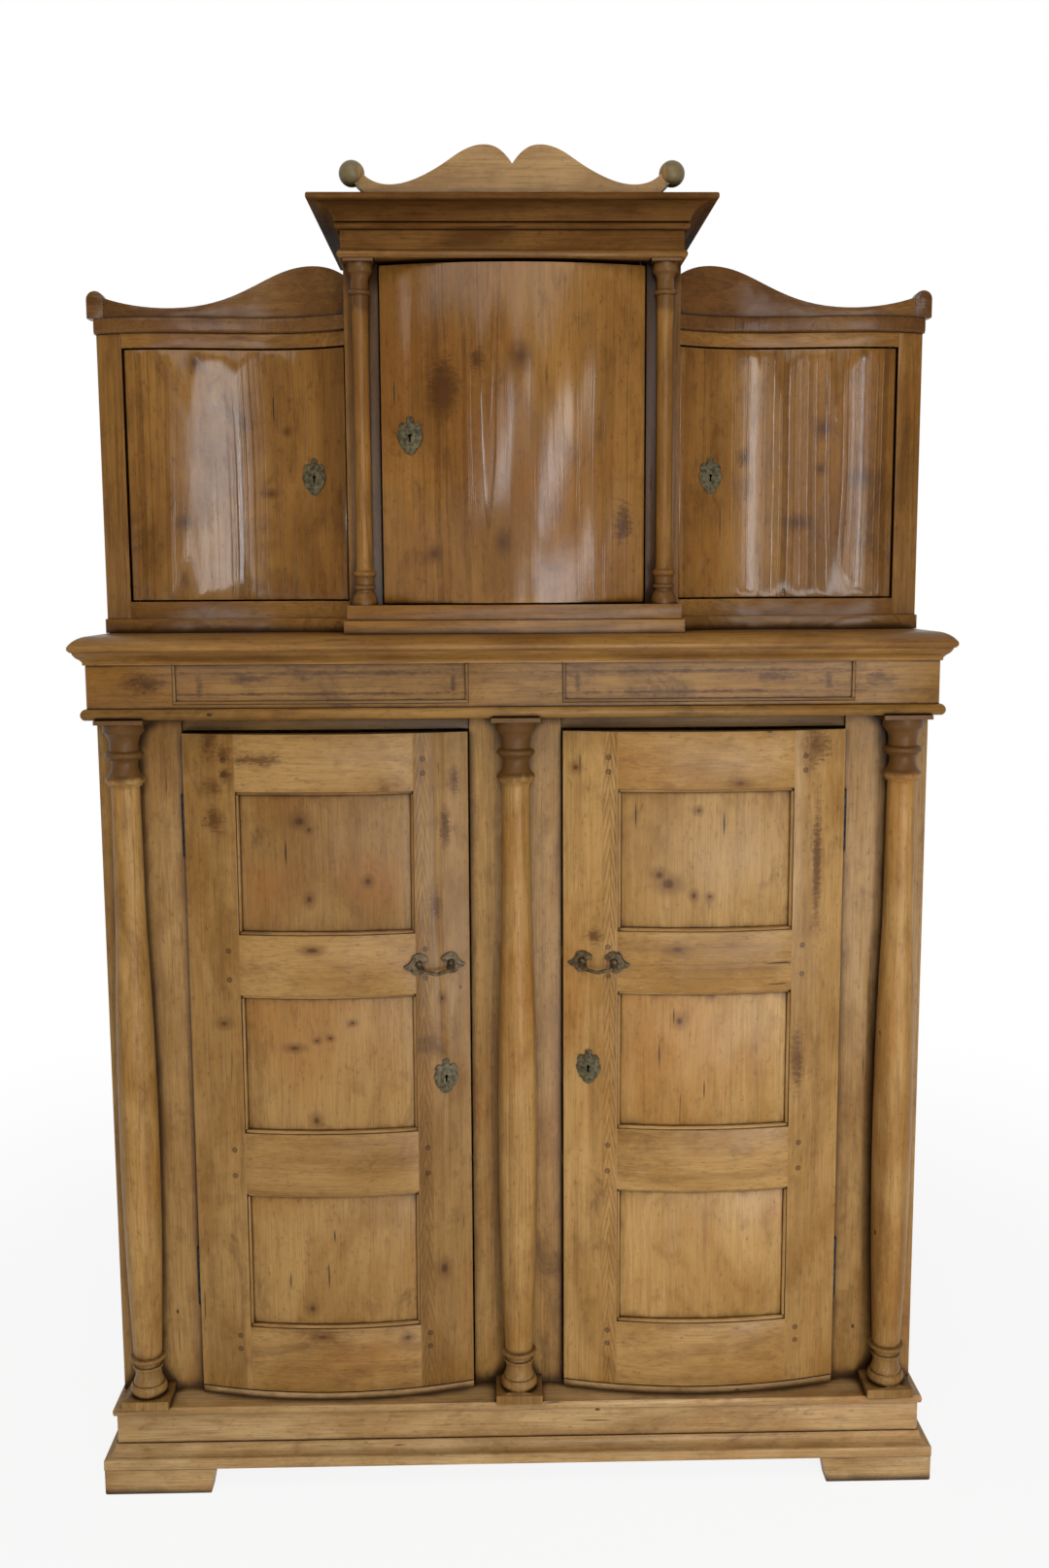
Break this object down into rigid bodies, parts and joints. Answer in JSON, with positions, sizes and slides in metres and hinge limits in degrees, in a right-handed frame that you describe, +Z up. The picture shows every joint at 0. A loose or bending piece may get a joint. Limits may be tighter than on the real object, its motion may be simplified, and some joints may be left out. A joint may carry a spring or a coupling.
{
  "type": "two-part pine cupboard",
  "caption": "Two-part pine cupboard: two bowed panelled doors between turned columns below, a bowed centre door with scroll crest and two serpentine wings above.",
  "frame": {"origin": "centre of the plan at floor level", "axes": "+X to the cupboard's right as seen from the front, +Y to the back, +Z up"},
  "size_m": [1.444, 0.567, 2.251],
  "materials": {
    "astragal_board": "satin",
    "base_moulding": "satin",
    "bottom_board": "satin",
    "case_stiles": "satin",
    "centre_door_board": "satin",
    "centre_door_escutcheon": "satin",
    "centre_door_lock_bolt": "matte",
    "centre_door_lock_case": "matte",
    "centre_pilasters": "satin",
    "centre_steps": "satin",
    "door_headers": "satin",
    "entablature": "satin",
    "feet": "satin",
    "frieze": "satin",
    "frieze_beads": "satin",
    "hinge_frame_halves": "matte",
    "left_door_escutcheon": "satin",
    "left_door_frame": "satin",
    "left_door_hinge_halves": "matte",
    "left_door_lock_bolt": "matte",
    "left_door_lock_case": "matte",
    "left_door_panels": "satin",
    "left_door_pull": "satin",
    "left_wing_door_board": "satin",
    "left_wing_door_escutcheon": "satin",
    "left_wing_door_lock_bolt": "matte",
    "left_wing_door_lock_case": "matte",
    "lower_back": "satin",
    "lower_columns": "satin",
    "lower_cornice": "satin",
    "lower_shelves": "satin",
    "lower_top": "satin",
    "lower_uprights": "satin",
    "pediment": "satin",
    "pivot_pins": "matte",
    "plinth": "satin",
    "right_door_escutcheon": "satin",
    "right_door_frame": "satin",
    "right_door_hinge_halves": "matte",
    "right_door_lock_bolt": "matte",
    "right_door_lock_case": "matte",
    "right_door_panels": "satin",
    "right_door_pull": "satin",
    "right_wing_door_board": "satin",
    "right_wing_door_escutcheon": "satin",
    "right_wing_door_lock_bolt": "matte",
    "right_wing_door_lock_case": "matte",
    "upper_back": "satin",
    "upper_columns": "satin",
    "upper_cornice": "satin",
    "upper_floor": "satin",
    "upper_shelves": "satin",
    "upper_slab": "satin",
    "upper_soffit": "satin",
    "upper_uprights": "satin",
    "wing_base_mouldings": "satin",
    "wing_crests": "satin",
    "wing_posts": "satin",
    "wing_rails": "satin",
    "wing_tops": "satin"
  },
  "bodies": {
    "carcass": {"astragal_board": "astragal_board", "base_moulding": "base_moulding", "bottom_board": "bottom_board", "case_stiles": "case_stiles", "centre_pilasters": "centre_pilasters", "centre_steps": "centre_steps", "door_headers": "door_headers", "entablature": "entablature", "feet": "feet", "frieze": "frieze", "frieze_beads": "frieze_beads", "hinge_frame_halves": "hinge_frame_halves", "lower_back": "lower_back", "lower_columns": "lower_columns", "lower_cornice": "lower_cornice", "lower_shelves": "lower_shelves", "lower_top": "lower_top", "lower_uprights": "lower_uprights", "pediment": "pediment", "pivot_pins": "pivot_pins", "plinth": "plinth", "upper_back": "upper_back", "upper_columns": "upper_columns", "upper_cornice": "upper_cornice", "upper_floor": "upper_floor", "upper_shelves": "upper_shelves", "upper_slab": "upper_slab", "upper_soffit": "upper_soffit", "upper_uprights": "upper_uprights", "wing_base_mouldings": "wing_base_mouldings", "wing_crests": "wing_crests", "wing_posts": "wing_posts", "wing_rails": "wing_rails", "wing_tops": "wing_tops"},
    "centre_door": {"centre_door_board": "centre_door_board", "centre_door_escutcheon": "centre_door_escutcheon", "centre_door_lock_case": "centre_door_lock_case"},
    "centre_door_bolt": {"centre_door_lock_bolt": "centre_door_lock_bolt"},
    "left_door": {"left_door_escutcheon": "left_door_escutcheon", "left_door_frame": "left_door_frame", "left_door_hinge_halves": "left_door_hinge_halves", "left_door_lock_case": "left_door_lock_case", "left_door_panels": "left_door_panels", "left_door_pull": "left_door_pull"},
    "left_door_bolt": {"left_door_lock_bolt": "left_door_lock_bolt"},
    "left_wing_door": {"left_wing_door_board": "left_wing_door_board", "left_wing_door_escutcheon": "left_wing_door_escutcheon", "left_wing_door_lock_case": "left_wing_door_lock_case"},
    "left_wing_door_bolt": {"left_wing_door_lock_bolt": "left_wing_door_lock_bolt"},
    "right_door": {"right_door_escutcheon": "right_door_escutcheon", "right_door_frame": "right_door_frame", "right_door_hinge_halves": "right_door_hinge_halves", "right_door_lock_case": "right_door_lock_case", "right_door_panels": "right_door_panels", "right_door_pull": "right_door_pull"},
    "right_door_bolt": {"right_door_lock_bolt": "right_door_lock_bolt"},
    "right_wing_door": {"right_wing_door_board": "right_wing_door_board", "right_wing_door_escutcheon": "right_wing_door_escutcheon", "right_wing_door_lock_case": "right_wing_door_lock_case"},
    "right_wing_door_bolt": {"right_wing_door_lock_bolt": "right_wing_door_lock_bolt"}
  },
  "joints": [
    {"name": "right_door_hinge", "type": "hinge", "parent": "carcass", "child": "right_door", "pos_m": [0.5575, -0.1955, 0.7615], "axis": [0, 0, 1], "range_deg": [0, 95]},
    {"name": "left_door_hinge", "type": "hinge", "parent": "carcass", "child": "left_door", "pos_m": [-0.5575, -0.1955, 0.7615], "axis": [0, 0, -1], "range_deg": [0, 95]},
    {"name": "right_wing_door_pivot", "type": "hinge", "parent": "carcass", "child": "right_wing_door", "pos_m": [0.64, -0.10422, 1.7465], "axis": [0, 0, 1], "range_deg": [0, 90]},
    {"name": "left_wing_door_pivot", "type": "hinge", "parent": "carcass", "child": "left_wing_door", "pos_m": [-0.64, -0.10422, 1.7465], "axis": [0, 0, -1], "range_deg": [0, 90]},
    {"name": "centre_door_pivot", "type": "hinge", "parent": "carcass", "child": "centre_door", "pos_m": [0.207, -0.19904, 1.804], "axis": [0, 0, 1], "range_deg": [0, 80]},
    {"name": "right_door_bolt_slide", "type": "slide", "parent": "right_door", "child": "right_door_bolt", "axis": [-0.9678, 0.2516, 0], "range_m": [0, 0.01]},
    {"name": "left_door_bolt_slide", "type": "slide", "parent": "left_door", "child": "left_door_bolt", "axis": [0.9678, 0.2516, 0], "range_m": [0, 0.01]},
    {"name": "right_wing_door_bolt_slide", "type": "slide", "parent": "right_wing_door", "child": "right_wing_door_bolt", "axis": [-0.9141, -0.4055, 0], "range_m": [0, 0.01]},
    {"name": "left_wing_door_bolt_slide", "type": "slide", "parent": "left_wing_door", "child": "left_wing_door_bolt", "axis": [0.9141, -0.4055, 0], "range_m": [0, 0.01]},
    {"name": "centre_door_bolt_slide", "type": "slide", "parent": "centre_door", "child": "centre_door_bolt", "axis": [-0.9641, 0.2655, 0], "range_m": [0, 0.01]}
  ]
}
